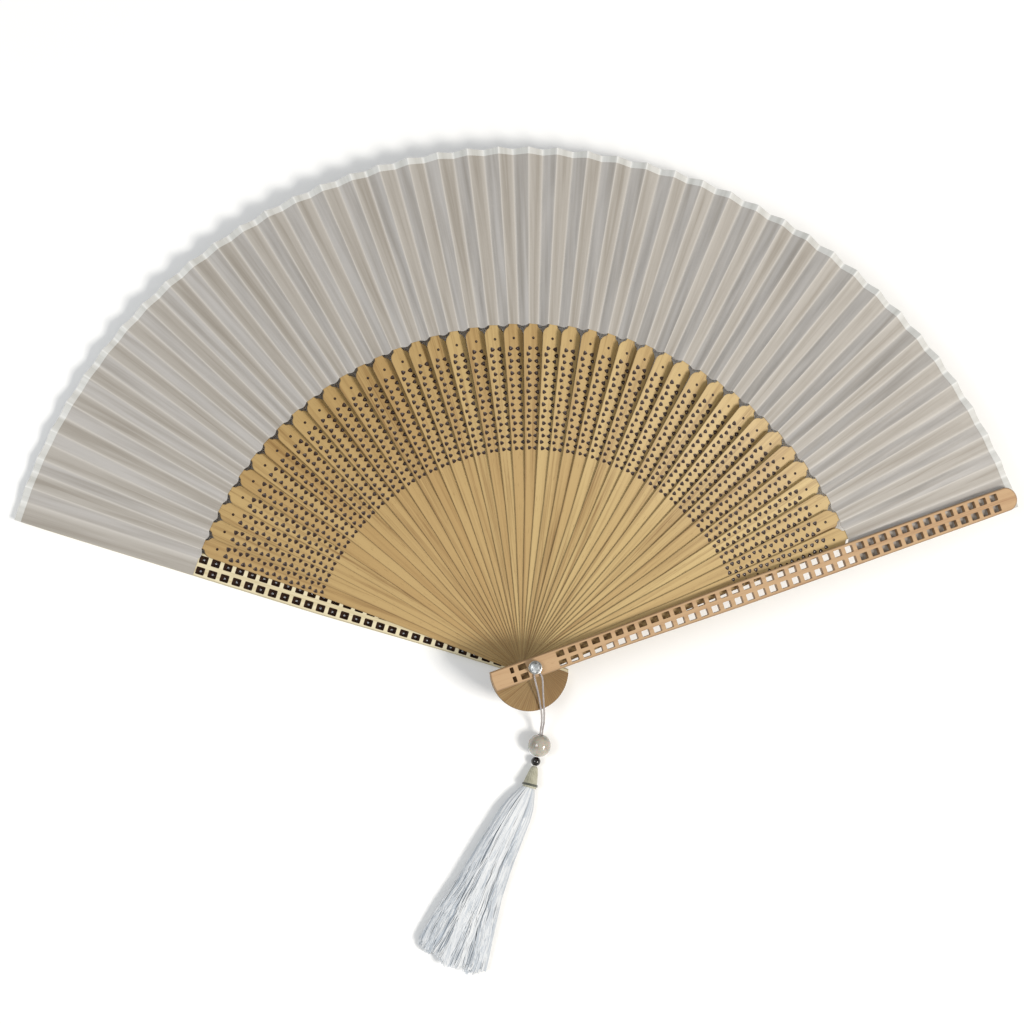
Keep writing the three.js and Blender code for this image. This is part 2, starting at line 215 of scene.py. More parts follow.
def smooth_line(points, per_span):
    """A smooth line through points, with that many steps between two of them."""
    line = []
    padded = [2 * points[0] - points[1], *points, 2 * points[-1] - points[-2]]
    for a, b, c, d in zip(padded, padded[1:], padded[2:], padded[3:]):
        for step in range(per_span):
            t = step / per_span
            line.append(0.5 * (
                2 * b + (c - a) * t + (2 * a - 5 * b + 4 * c - d) * t ** 2
                + (3 * b - a - 3 * c + d) * t ** 3
            ))
    return [*line, points[-1]]


def turns(sides):
    """The angles of that many steps round a circle."""
    return [step / sides * 2 * math.pi for step in range(sides)]


def axes_between(from_place, towards):
    """The unit vector from one place towards another, and two across it."""
    axis = (towards - from_place).normalized()
    side = axis.orthogonal().normalized()
    return axis, side, axis.cross(side)


def tube(line, radius, sides, uv_step, uv_shift=0):
    """Points and UVs of a round thread along a line."""
    points, uvs = [], []
    for index, (here, (side, other)) in enumerate(zip(line, frames_along(line))):
        for angle in turns(sides):
            points.append(here + (side * math.cos(angle) + other * math.sin(angle)) * radius)
            uvs.append((angle * radius * MM + uv_shift * MM, index * uv_step * MM))
    return points, uvs


def turned_points(profile, sides, from_place, towards):
    """Rings of points round an axis that runs from one place towards another; profile holds pairs of
    radius and distance along the axis."""
    axis, side, other = axes_between(from_place, towards)
    points = []
    for radius, along in profile:
        for angle in turns(sides):
            out = side * math.cos(angle) + other * math.sin(angle)
            points.append(from_place + axis * along + out * radius)
    return points


# --- Materials ---


def add_node(tree, kind, inputs=(), **settings):
    """A shader node; a socket among the inputs is linked, and anything else is set."""
    made = tree.nodes.new(kind)
    for key, value in settings.items():
        setattr(made, key, value)
    for key, value in dict(inputs).items():
        if isinstance(value, bpy.types.NodeSocket):
            tree.links.new(value, made.inputs[key])
        else:
            made.inputs[key].default_value = value
    return made


def new_material(name, **settings):
    """A material with a Principled shader, its tree, and that shader with sockets set by name."""
    material = bpy.data.materials.new(name)
    material.use_nodes = True
    tree = material.node_tree
    shader = tree.nodes["Principled BSDF"]
    for key, value in settings.items():
        shader.inputs[key.replace("_", " ")].default_value = value
    return material, tree, shader


def mix_colors(tree, share, a, b, blend="MIX"):
    made = add_node(tree, "ShaderNodeMix", {0: share, 6: a, 7: b}, data_type="RGBA", blend_type=blend)
    return made.outputs[2]


def ramp(tree, factor, low, high):
    """A smooth 0 to 1 rise of a number between two values."""
    made = add_node(
        tree, "ShaderNodeMapRange", {"Value": factor, "From Min": low, "From Max": high},
        interpolation_type="SMOOTHSTEP",
    )
    return made.outputs["Result"]


def spread(tree, value, low, high):
    """A 0 to 1 number spread between two values."""
    made = add_node(tree, "ShaderNodeMapRange", {"Value": value, "To Min": low, "To Max": high})
    return made.outputs["Result"]


def attribute(tree, name):
    return add_node(tree, "ShaderNodeAttribute", attribute_name=name).outputs["Fac"]


def object_place(tree):
    return add_node(tree, "ShaderNodeTexCoord").outputs["Object"]


def link(shader, name, output):
    """Feeds an output to a shader's input."""
    shader.id_data.links.new(output, shader.inputs[name])


def uv_scaled(tree, across, along):
    """The UV map, in metres, stretched to that many units per metre each way."""
    uv = add_node(tree, "ShaderNodeUVMap", uv_map="UVMap").outputs["UV"]
    made = add_node(tree, "ShaderNodeMapping", {"Vector": uv, "Scale": (across, along, 1)})
    return made.outputs["Vector"]


def noise_at(tree, vector, scale, detail=4, rough=0.55):
    made = add_node(
        tree, "ShaderNodeTexNoise",
        {"Vector": vector, "Scale": scale, "Detail": detail, "Roughness": rough},
    )
    return made.outputs["Fac"]


def stripes(tree, vector, scale, direction, distortion, detail):
    made = add_node(
        tree, "ShaderNodeTexWave",
        {"Vector": vector, "Scale": scale, "Distortion": distortion, "Detail": detail},
        bands_direction=direction,
    )
    return made.outputs["Fac"]


def bump(tree, height, distance, strength=1.0, normal=None):
    inputs = {"Height": height, "Distance": distance, "Strength": strength}
    if normal:
        inputs["Normal"] = normal
    return add_node(tree, "ShaderNodeBump", inputs).outputs["Normal"]


# Dark brown for the scorching round the holes, and for painted shade in the holes and along the edges of
# each piece.
SCORCH_AND_SHADE_BROWN = srgb(50, 28, 11)


def wood(name, pale, warm, streak):
    """Sandalwood: fine straight grain along the piece and a tone that differs from piece to piece; for the
    sticks the tone also holds painted shade, darker and warmer towards the left of the fan. Dark brown
    round the holes and along the edges: scorching where a hole was burned through, and painted shade in the
    holes and in the gaps between pieces."""
    material, tree, shader = new_material(name, Coat_Weight=0.12, Coat_Roughness=0.35)
    fine = noise_at(tree, uv_scaled(tree, 2600, 45), 1, 5, 0.6)
    broad = noise_at(tree, uv_scaled(tree, 420, 9), 1, 3)
    pores = noise_at(tree, uv_scaled(tree, 5200, 260), 1, 2)
    ground = mix_colors(tree, attribute(tree, "tone"), pale, warm)
    veined = mix_colors(tree, ramp(tree, broad, 0.42, 0.72), ground, streak)
    grained = mix_colors(tree, ramp(tree, fine, 0.3, 0.75), veined, ground)
    handled = mix_colors(tree, attribute(tree, "handled"), grained, streak)
    pored = mix_colors(tree, ramp(tree, pores, 0.62, 0.78), handled, streak)
    # Dark brown round the holes and along the edges: scorching, with painted shade for the dark in the
    # holes and in the gaps between pieces.
    scorched_and_shaded = mix_colors(tree, ramp(tree, attribute(tree, "burn_and_shade"), 0.0, 0.4), pored, SCORCH_AND_SHADE_BROWN)
    link(shader, "Base Color", scorched_and_shaded)
    link(shader, "Roughness", spread(tree, fine, 0.42, 0.62))
    link(shader, "Normal", bump(tree, fine, 0.00005, 0.5))
    return material


STICK_WOOD = wood("stick_wood", srgb(194, 168, 113), srgb(168, 135, 82), srgb(128, 94, 46))
FRONT_WOOD = wood("front_guard_wood", srgb(190, 158, 118), srgb(176, 140, 99), srgb(150, 109, 70))
BACK_WOOD = wood("back_guard_wood", srgb(224, 214, 182), srgb(212, 198, 158), srgb(186, 168, 124))


def silk(name, backed, free, crease_highlight, alpha):
    """Sheer silk: a fine weave with slubs and soft streaks of painted shade for its wrinkles. Paler on the
    creases: a painted highlight where the folds catch the light, partly also the whitening of pressed
    folds. Where it is glued to a slip it takes the backed colour, elsewhere the free colour.
    """
    material, tree, shader = new_material(
        name, Roughness=0.55, Sheen_Weight=0.25, Sheen_Roughness=0.4, Alpha=alpha,
    )
    warp = stripes(tree, uv_scaled(tree, 1, 0), 2200, "X", 0.6, 1)
    weft = stripes(tree, uv_scaled(tree, 0, 1), 2000, "Y", 0.6, 1)
    slubs = noise_at(tree, uv_scaled(tree, 1400, 60), 1, 4, 0.6)
    # Soft streaks of painted shade along the panel, for the shading of its wrinkles.
    wrinkle_shade_noise = noise_at(tree, uv_scaled(tree, 420, 14), 1, 3)
    ground = mix_colors(tree, attribute(tree, "backed"), free, backed)
    wrinkle_shaded = mix_colors(tree, ramp(tree, wrinkle_shade_noise, 0.3, 0.75), ground, crease_highlight, "MULTIPLY")
    shaded = mix_colors(tree, 0.7, ground, wrinkle_shaded)
    streaked = mix_colors(tree, ramp(tree, slubs, 0.55, 0.8), shaded, crease_highlight)
    softened = mix_colors(tree, 0.18, shaded, streaked)
    # Painted highlight along the folds, where they catch the light; partly the whitening of pressed folds.
    crease_highlighted = mix_colors(tree, attribute(tree, "crease_highlight"), softened, crease_highlight)
    link(shader, "Base Color", crease_highlighted)
    threads = add_node(tree, "ShaderNodeMath", {0: warp, 1: weft}, operation="ADD").outputs["Value"]
    woven = bump(tree, threads, 0.00002, 0.35)
    link(shader, "Normal", bump(tree, slubs, 0.0001, 0.25, woven))
    return material


# In both silks the free colour is paler than the backed one: painted light that evens out the shade on the
# free panels, which face away from the key light. The backed colour's warmth is the slip behind the sheer
# silk.
LEAF_SILK = silk("leaf_silk", srgb(181, 175, 166), srgb(189, 185, 180), srgb(202, 197, 189), 0.85)
EDGING_SILK = silk("edging_silk", srgb(204, 203, 198), srgb(207, 207, 203), srgb(220, 220, 216), 1.0)


def thread(name, pale, dark, twist, roughness):
    """Spun silk thread: fine bands that run round the piece at a slant."""
    material, tree, shader = new_material(name, Roughness=roughness, Sheen_Weight=0.4)
    strands = stripes(tree, uv_scaled(tree, *twist), 1, "DIAGONAL", 1.2, 2)
    mottle = noise_at(tree, uv_scaled(tree, 900, 300), 1, 3)
    color = mix_colors(tree, ramp(tree, strands, 0.1, 0.8), dark, pale)
    link(shader, "Base Color", mix_colors(tree, ramp(tree, mottle, 0.45, 0.8), color, dark))
    link(shader, "Normal", bump(tree, strands, 0.0001, 0.6))
    return material


CORD_SILK = thread("cord_silk", srgb(190, 182, 176), srgb(122, 112, 112), (900, 900), 0.4)
CAP_SILK = thread("cap_silk", srgb(206, 204, 184), srgb(156, 152, 126), (2600, 120), 0.6)
BINDING_THREAD = thread("binding_thread", srgb(96, 100, 84), srgb(40, 44, 36), (500, 900), 0.6)


def mottled(name, scale, detail, rough, edges, colors, gloss=None, **settings):
    """Blotches of a second colour on the first; gloss is the roughness outside and inside them."""
    material, tree, shader = new_material(name, **settings)
    blotches = noise_at(tree, object_place(tree), scale, detail, rough)
    link(shader, "Base Color", mix_colors(tree, ramp(tree, blotches, *edges), *colors))
    if gloss:
        link(shader, "Roughness", spread(tree, blotches, *gloss))
    return material


# Plated metal, a little worn; pale translucent stone with faint veins; black polished wood or glass.
RIVET_METAL = mottled(
    "rivet_metal", 900, 4, 0.55, (0.4, 0.8), (srgb(206, 203, 196), srgb(150, 146, 136)), (0.18, 0.38),
    Metallic=1.0,
)
BEAD_STONE = mottled(
    "bead_stone", 320, 5, 0.6, (0.35, 0.7), (srgb(184, 179, 166), srgb(151, 146, 134)),
    Roughness=0.12, Subsurface_Weight=0.4, Subsurface_Scale=0.003, Transmission_Weight=0.08,
    Coat_Weight=0.6, Coat_Roughness=0.06,
)
SPACER_GLOSS = mottled(
    "spacer_gloss", 1500, 3, 0.55, (0.4, 0.8), (srgb(10, 8, 7), srgb(26, 21, 18)), (0.1, 0.28),
    Coat_Weight=0.4, Coat_Roughness=0.05,
)


def crystal_material():
    """Cut glass: cells of painted reflection, bright and dark, that stand for the facets seen inside it."""
    material, tree, shader = new_material(
        "crystal_glass", Roughness=0.05, IOR=1.6, Transmission_Weight=0.2, Coat_Weight=0.6,
    )
    cells = add_node(tree, "ShaderNodeTexVoronoi", {"Vector": object_place(tree), "Scale": 1300})
    facets = mix_colors(tree, cells.outputs["Color"], srgb(66, 72, 74), srgb(246, 250, 250))
    link(shader, "Base Color", facets)
    return material


def skirt_material():
    """Silvery silk threads; tone differs from thread to thread."""
    material, tree, shader = new_material(
        "skirt_silk", Roughness=0.38, Sheen_Weight=0.3, Anisotropic=0.5,
    )
    tone = ramp(tree, attribute(tree, "tone"), 0.0, 1.0)
    flecks = noise_at(tree, uv_scaled(tree, 1800, 160), 1, 3)
    ground = mix_colors(tree, tone, srgb(176, 184, 192), srgb(226, 227, 227))
    flecked = mix_colors(tree, ramp(tree, flecks, 0.6, 0.85), ground, srgb(170, 180, 192))
    link(shader, "Base Color", flecked)
    return material


CRYSTAL_GLASS = crystal_material()
SKIRT_SILK = skirt_material()


def show(piece, body, material_slot, *nodes):
    """Makes a piece ride on a body and stand for CAD nodes; material_slot is not used."""
    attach(piece, body)
    if nodes:
        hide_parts(*nodes)
    return piece


# --- Sticks and guards ---


def offset_loop(loop, distance):
    """A counter-clockwise loop of 2-D points, moved outwards by a distance."""
    moved = []
    for before, here, after in zip(loop[-1:] + loop[:-1], loop, loop[1:] + loop[:1]):
        arriving = (here - before).normalized()
        leaving = (after - here).normalized()
        outward = Vector((arriving.y + leaving.y, -arriving.x - leaving.x)).normalized()
        spare = max(0.5, outward.dot(Vector((arriving.y, -arriving.x))))
        moved.append(here + outward * (distance / spare))
    return moved


# Painted shade along the edge of every bar, for the dark gaps between neighbouring sticks, and the width
# over which it fades inwards.
EDGE_SHADE = 0.16
EDGE_SHADE_RIM = 0.35


def narrowed(loop, share):
    """A loop drawn in towards its middle."""
    middle = sum(loop, Vector((0, 0))) / len(loop)
    return [place.lerp(middle, share) for place in loop]


def pierced_bar(outline, holes, thickness_at, bevel, rim, narrowing, hole_scorch_and_shade):
    """A flat bar with bevelled edges and through holes: its points, faces and how dark each point is
    painted. Each hole is darkened that much, partly scorching and partly painted shade for the dark seen
    through it, and has a rim over which this fades. All but the first, the rivet's, narrow by that share
    towards the underside, as a hole that is burned through does.
    The bar's own edge carries a band of painted shade, for the dark gaps between neighbouring sticks."""
    flat = offset_loop(outline, -bevel)
    below = list(flat)
    loops = [list(range(len(flat)))]
    burn_and_shade = [EDGE_SHADE] * len(flat)
    hole_of = [-1] * len(flat)
    inside = offset_loop(outline, -bevel - EDGE_SHADE_RIM)
    bands = [(inside, inside, 0.0, -1)]
    for number, hole in enumerate(holes):
        around = offset_loop(hole, rim)
        bands.append((around, around, 0.0, -1))
        bands.append((hole, narrowed(hole, narrowing if number > 0 else 0), hole_scorch_and_shade, number))
    for loop, under, loop_burn_and_shade, owner in bands:
        loops.append(list(range(len(flat), len(flat) + len(loop))))
        flat += loop
        below += under
        burn_and_shade += [loop_burn_and_shade] * len(loop)
        hole_of += [owner] * len(loop)
    edges = [(a, b) for loop in loops for a, b in zip(loop, loop[1:] + loop[:1])]
    _, _, triangles, origin, _, _ = delaunay_2d_cdt(flat, edges, [], 1, 1e-6)
    count = len(flat)
    top = [Vector((p.x, p.y, thickness_at(p.y))) for p in flat]
    points = top + [Vector((p.x, p.y, 0)) for p in below]
    burn_and_shade = burn_and_shade * 2
    faces = []
    for triangle in triangles:
        a, b, c = (origin[corner][0] for corner in triangle)
        if hole_of[a] >= 0 and hole_of[a] == hole_of[b] == hole_of[c]:
            continue
        faces.append((a, b, c))
        faces.append((c + count, b + count, a + count))
    for loop in loops[3::2]:
        for a, b in zip(loop, loop[1:] + loop[:1]):
            faces.append((a, b, b + count, a + count))
    start = len(points)
    size = len(outline)
    points += [Vector((p.x, p.y, thickness_at(p.y) - bevel)) for p in outline]
    points += [Vector((p.x, p.y, bevel)) for p in outline]
    burn_and_shade += [EDGE_SHADE] * (2 * size)
    for a in range(size):
        b = (a + 1) % size
        faces.append((start + a, start + b, b, a))
        faces.append((start + size + a, start + size + b, start + b, start + a))
        faces.append((count + a, count + b, start + size + b, start + size + a))
    return points, faces, burn_and_shade


def place_bar(points, index, height, tilted, skew=0.0):
    """Points of a bar in its own frame, moved to where a stick or guard lies in the open fan."""
    placed = []
    for point in points:
        across = point.x * math.cos(skew) + point.y * math.sin(skew)
        along = point.y * math.cos(skew) - point.x * math.sin(skew)
        sink = point.x * tilt_at(index, point.y) if tilted else 0.0
        placed.append(beside(index, along, across, height + point.z - sink))
    return placed


HANDLED_MOST = 0.65
HANDLED_START = 2
HANDLED_LENGTH = 10
GRAIN_ROOM = 3


def handled(points):
    """How much the wood of each point has darkened in the hand, near the rivet."""
    return [HANDLED_MOST * clamp((HANDLED_START - point.y) / HANDLED_LENGTH) for point in points]


def grain_uvs(points):
    """UVs in metres along a bar, at a random place in the wood."""
    shift = Vector((RANDOM.uniform(0, GRAIN_ROOM), RANDOM.uniform(0, GRAIN_ROOM)))
    return [(shift.x + point.x * MM, shift.y + point.y * MM) for point in points]


STICK_HEAD_HALF_WIDTH = 3.2
STICK_HEAD_STEPS = 3
SHOULDER = 124
SHOULDER_RADIUS = 3.2
SHOULDER_TURN = 1.15
SHOULDER_STEPS = 6
STICK_HALF_WIDTHS = [
    (-HEAD_LENGTH, STICK_HEAD_HALF_WIDTH), (TILT_START, 2.55), (83, 2.75), (SHOULDER, 3.9),
]
STICK_STATIONS = [*range(-12, TILT_START, 12), *range(TILT_START, SHOULDER - 2, 4)]
SLIP_HALF_WIDTH = 1.7
SLIP_TIP_HALF_WIDTH = 1.2
SLIP_TIP = LEAF_OUTER - 6
SLIP_STATIONS = [127.6, 140, 155, 170, SLIP_TIP - 1.5]
THINNING_START = 125
THINNING_LENGTH = 2
STICK_BEVEL = 0.07
STICK_BORE_SIDES = 16
STICK_SKEW = 0.1
STICK_TONE_SPREAD = 0.55
PIERCED_FIRST = 118.8
PIERCED_PITCH = 2.35
PIERCED_ROWS = 17
NEAR_PAIR = 1.4
FAR_PAIR = 2.05
PIERCED_TAPER = 0.75
PIERCED_RADIUS = 0.74
PIERCED_NARROWING = 0.8
PIERCED_POINTS = 9
PIERCED_LOBE = 0.2
PIERCED_SIZES = (0.9, 1.08)
PIERCED_JITTER = (0.06, 0.08)
PIERCED_RIM = 0.12
EYE_PLACE = 122.7
EYE_RADIUS = 0.45
EYE_SIDES = 8


def stick_thickness(along):
    return lerp(BLADE_THICKNESS, SLIP_THICKNESS, clamp((along - THINNING_START) / THINNING_LENGTH))


def head_arc(half_width, steps):
    """(half width, distance from the rivet) round one side of a head, from its middle outwards."""
    arc = []
    for step in range(1, steps + 1):
        angle = math.asin(half_width / HEAD_LENGTH) * step / steps
        arc.append((HEAD_LENGTH * math.sin(angle), -HEAD_LENGTH * math.cos(angle)))
    return arc


def mirrored(right):
    """A bar's outline, from its right side."""
    return [Vector(place) for place in right] + [Vector((-x, y)) for x, y in reversed(right)]


def stick_side():
    """(half width, distance from the rivet) down one side of a stick, from its head to its tip."""
    side = head_arc(STICK_HEAD_HALF_WIDTH, STICK_HEAD_STEPS)
    side += [(piecewise(STICK_HALF_WIDTHS, along), along) for along in STICK_STATIONS]
    shoulder_width = piecewise(STICK_HALF_WIDTHS, SHOULDER)
    for step in range(SHOULDER_STEPS + 1):
        angle = step / SHOULDER_STEPS * SHOULDER_TURN
        side.append((
            shoulder_width - SHOULDER_RADIUS * (1 - math.cos(angle)),
            SHOULDER + SHOULDER_RADIUS * math.sin(angle),
        ))
    for along in SLIP_STATIONS:
        share = clamp((along - TILT_END) / (SLIP_TIP - TILT_END))
        side.append((lerp(SLIP_HALF_WIDTH, SLIP_TIP_HALF_WIDTH, share), along))
    side.append((SLIP_TIP_HALF_WIDTH * 0.5, SLIP_TIP))
    return side


def circle(along, radius, sides):
    """A round hole on a bar's centre line."""
    return [
        Vector((radius * math.cos(angle), along + radius * math.sin(angle))) for angle in turns(sides)
    ]


def pierced_hole(centre, radius, pointing):
    """A burnt hole with three rounded corners, one of which points that way."""
    loop = []
    for turn in turns(PIERCED_POINTS):
        reach = radius * (1 + PIERCED_LOBE * math.cos(3 * turn))
        angle = turn + pointing
        loop.append(centre + Vector((math.cos(angle), math.sin(angle))) * reach)
    return loop


def stick_holes():
    holes = [circle(0, RIVET_HOLE_RADIUS, STICK_BORE_SIDES), circle(EYE_PLACE, EYE_RADIUS, EYE_SIDES)]
    for row in range(PIERCED_ROWS):
        along = PIERCED_FIRST - row * PIERCED_PITCH
        share = lerp(1, PIERCED_TAPER, row / (PIERCED_ROWS - 1))
        across = (NEAR_PAIR if row % 2 == 0 else FAR_PAIR) * share
        for side in (-1, 1):
            radius = PIERCED_RADIUS * RANDOM.uniform(*PIERCED_SIZES) * lerp(1, share, 0.5)
            jitter = Vector([RANDOM.uniform(-most, most) for most in PIERCED_JITTER])
            pointing = math.pi if side > 0 else 0.0
            holes.append(pierced_hole(Vector((side * across, along)) + jitter, radius, pointing))
    return holes


def make_sticks():
    outline = mirrored(stick_side())
    for index, name in enumerate(STICK_NAMES, start=1):
        points, faces, burn_and_shade = pierced_bar(
            outline, stick_holes(), stick_thickness, STICK_BEVEL, PIERCED_RIM, PIERCED_NARROWING, 1.0
        )
        skew = math.radians(RANDOM.uniform(-STICK_SKEW, STICK_SKEW))
        placed = place_bar(points, index, stick_z(index), True, skew)
        # The tone is part random and part painted shade: 1 - index / STICK_COUNT makes the sticks darker
        # and warmer towards the left of the fan, where less light falls.
        tone = lerp(1 - index / STICK_COUNT, RANDOM.random(), STICK_TONE_SPREAD)
        piece = make_piece(
            f"{name}_pierced", placed, faces, STICK_WOOD, 40, grain_uvs(points),
            {"burn_and_shade": burn_and_shade, "tone": [tone] * len(points), "handled": handled(points)},
        )
        show(piece, name, "stick_wood", name)


GUARD_HALF_WIDTH = 4.5
GUARD_HEAD_HALF_WIDTH = 3.65
GUARD_HALF_WIDTHS = [(30, GUARD_HEAD_HALF_WIDTH), (80, GUARD_HALF_WIDTH)]
GUARD_BEVEL = 0.3
GUARD_HOLE_FIRST = 10.5
GUARD_HOLE_LAST = TIP_RADIUS - 9
GUARD_HOLE_COUNT = 39
GUARD_HOLE_ROW = 0.47
GUARD_HOLE_WIDTH = 0.58
GUARD_HOLE_LENGTH = 3
GUARD_HEAD_HOLES = [(-4.2, GUARD_HOLE_LENGTH), (-8.1, 1.4)]
GUARD_HOLE_CORNER = 0.25
GUARD_RIM = 0.15
GUARD_BORE_SIDES = 20
GUARD_HEAD_STEPS = 4
GUARD_STATIONS = range(-10, 190, 10)
GUARD_TIP_STEPS = 8
GUARD_TIP_TURN = math.pi / 2 - 0.05
GUARD_TONE = 0.4


def guard_outline():
    right = head_arc(GUARD_HEAD_HALF_WIDTH, GUARD_HEAD_STEPS)
    right += [(piecewise(GUARD_HALF_WIDTHS, along), along) for along in GUARD_STATIONS]
    for step in range(1, GUARD_TIP_STEPS + 1):
        angle = step / GUARD_TIP_STEPS * GUARD_TIP_TURN
        right.append((
            GUARD_HALF_WIDTH * math.cos(angle),
            TIP_RADIUS - GUARD_HALF_WIDTH + GUARD_HALF_WIDTH * math.sin(angle),
        ))
    return mirrored(right)


def rounded_rectangle(centre, width, length, corner):
    loop = []
    for x_side, y_side, start in ((1, 1, 0), (-1, 1, 90), (-1, -1, 180), (1, -1, 270)):
        middle = centre + Vector((x_side * (width / 2 - corner), y_side * (length / 2 - corner)))
        for degrees in (0, 45, 90):
            angle = math.radians(start + degrees)
            loop.append(middle + corner * Vector((math.cos(angle), math.sin(angle))))
    return loop


def guard_holes():
    holes = [circle(0, RIVET_HOLE_RADIUS, GUARD_BORE_SIDES)]
    last = GUARD_HOLE_COUNT - 1
    places = [
        (lerp(GUARD_HOLE_FIRST, GUARD_HOLE_LAST, hole / last), GUARD_HOLE_LENGTH)
        for hole in range(GUARD_HOLE_COUNT)
    ]
    for along, length in GUARD_HEAD_HOLES + places:
        half = piecewise(GUARD_HALF_WIDTHS, along)
        for side in (-1, 1):
            centre = Vector((side * GUARD_HOLE_ROW * half, along))
            holes.append(rounded_rectangle(centre, GUARD_HOLE_WIDTH * half, length, GUARD_HOLE_CORNER))
    return holes


def make_guard(name, index, height, material, material_slot, narrowing, hole_scorch_and_shade):
    points, faces, burn_and_shade = pierced_bar(
        guard_outline(), guard_holes(), lambda along: GUARD_THICKNESS, GUARD_BEVEL, GUARD_RIM,
        narrowing, hole_scorch_and_shade,
    )
    piece = make_piece(
        f"{name}_pierced", place_bar(points, index, height, False), faces, material, 40,
        grain_uvs(points),
        {"burn_and_shade": burn_and_shade, "tone": [GUARD_TONE] * len(points), "handled": [0.0] * len(points)},
    )
    show(piece, name, material_slot, name)


make_sticks()
# The back guard's holes are fully darkened, and narrowed to show more of their dark walls: partly
# scorching, partly painted shade for the dark seen through them. The front guard's holes are barely
# darkened.
make_guard("back_guard", 0, 0, BACK_WOOD, "back_guard_wood", narrowing=0.78, hole_scorch_and_shade=1.0)
make_guard(
    "front_guard", FRONT_GUARD, FRONT_GUARD_Z, FRONT_WOOD, "front_guard_wood", narrowing=0.06, hole_scorch_and_shade=0.14
)

# --- Leaf ---
# One panel for each pair of neighbours, from the middle of one glued strip to the middle of the next. It
# bends across the joint between the two.

QUARTER_FOLD = FOLD_STEP / 4
LEAF_SIDE_MARGIN = 0.1
LEAF_TUCK = 4.3
LEAF_MIDDLE = 0.08
LEAF_FACES = (-0.05, 0.05)
LEAF_ROWS = 22
EDGE_BULGE = 0.7
FOLD_STRAY = 0.5
FOLD_STRAY_BACK = 0.15
RIDGE_REACH = 0.3
LEAF_EDGE_INSET = 0.3
EDGING_WIDTH = 2.5
EDGING_LIP = 0.5
EDGING_ROWS = 4
EDGING_FACES = (-0.1, 0.14)

# How often the wrinkles come: along a panel, from one panel to the next, and across a panel.
WAVE = (0.05, 3.7, 1.4)
RIPPLE = (0.16, 5.1, 4.0)
RIPPLE_SHARE = 0.5
WRINKLE = 0.42
FREE_WRINKLE = 1.6
GLUED_WRINKLE = 0.08
RELIEF_FADE = 8
UV_STRIDE = 11


def leaf_seat(index):
    if index == 0:
        return GUARD_THICKNESS + LEAF_GAP + LEAF_MIDDLE
    if index == FRONT_GUARD:
        return FRONT_GUARD_Z - LEAF_GAP - LEAF_MIDDLE
    return stick_z(index) + SLIP_THICKNESS + LEAF_GAP + LEAF_MIDDLE


def fold_place(index, side, radius, shift=0.0):
    """A place on the fold at one side of a glued strip."""
    across = side * radius * math.sin(QUARTER_FOLD) + shift * radius / LEAF_OUTER
    height = leaf_seat(index) - across * tilt_at(index, radius)
    return beside(index, radius * math.cos(QUARTER_FOLD), across, height)


def middle_place(index, radius):
    """A place on the middle line of a glued strip; at the guards, the leaf's free end."""
    across = 0.0
    if index == 0:
        across = LEAF_SIDE_MARGIN - GUARD_HALF_WIDTH
    if index == FRONT_GUARD:
        across = LEAF_TUCK
    return beside(index, radius, across, leaf_seat(index))


# (stretch, share of it, backed, painted highlight on the folds): stretch 0 is the glued strip's right half,
# 1 the free panel and
# 2 the next glued strip's left half.
PROFILE = [
    (0, 0.0, 1, 0.0), (0, 0.35, 1, 0.0), (0, 0.7, 1, 0.15), (0, 0.9, 1, 0.6),
    (1, 0.0, 0.7, 1.0), (1, 0.05, 0.1, 0.7), (1, 0.14, 0, 0.1), (1, 0.35, 0, 0.0), (1, 0.6, 0, 0.0),
    (1, 0.84, 0, 0.0), (1, 0.95, 0, 0.25),
    (2, 0.0, 0.8, 1.0), (2, 0.07, 1, 0.9), (2, 0.2, 1, 0.35), (2, 0.5, 1, 0.05), (2, 1.0, 1, 0.0),
]


def panel_place(panel, shifts, stretch, share, radius):
    corners = (
        middle_place(panel, radius),
        fold_place(panel, 1, radius, shifts[0]),
        fold_place(panel + 1, -1, radius, shifts[1]),
        middle_place(panel + 1, radius),
    )
    return corners[stretch].lerp(corners[stretch + 1], share)


def wrinkle(panel, stretch, share, radius):
    """How far the silk stands off, before it is scaled: a long wave and a finer ripple."""
    wave = noise.noise(Vector((radius * WAVE[0], panel * WAVE[1] + stretch, share * WAVE[2])))
    ripple = noise.noise(Vector((radius * RIPPLE[0], panel * RIPPLE[1], share * RIPPLE[2])))
    return WRINKLE * (wave + RIPPLE_SHARE * ripple)


def panel_surface(panel, shifts, inner, outer, rows, relief):
    """Rows of points from the inner to the outer edge of a panel, without thickness."""
    surface = []
    for row in range(rows + 1):
        for stretch, share, _, _ in PROFILE:
            free = math.sin(math.pi * share) if stretch == 1 else 0.0
            ridge = share if stretch == 1 else float(stretch == 2) * (1 - share)
            low = inner - EDGE_BULGE * free * relief
            high = outer + RIDGE_REACH * (ridge - 0.5)
            radius = lerp(low, high, row / rows)
            place = panel_place(panel, shifts, stretch, share, radius)
            fade = clamp((LEAF_OUTER - EDGING_WIDTH - radius) / RELIEF_FADE)
            reach = relief * fade * (FREE_WRINKLE * free + GLUED_WRINKLE)
            place.z += reach * wrinkle(panel, stretch, share, radius)
            surface.append(place)
    return surface


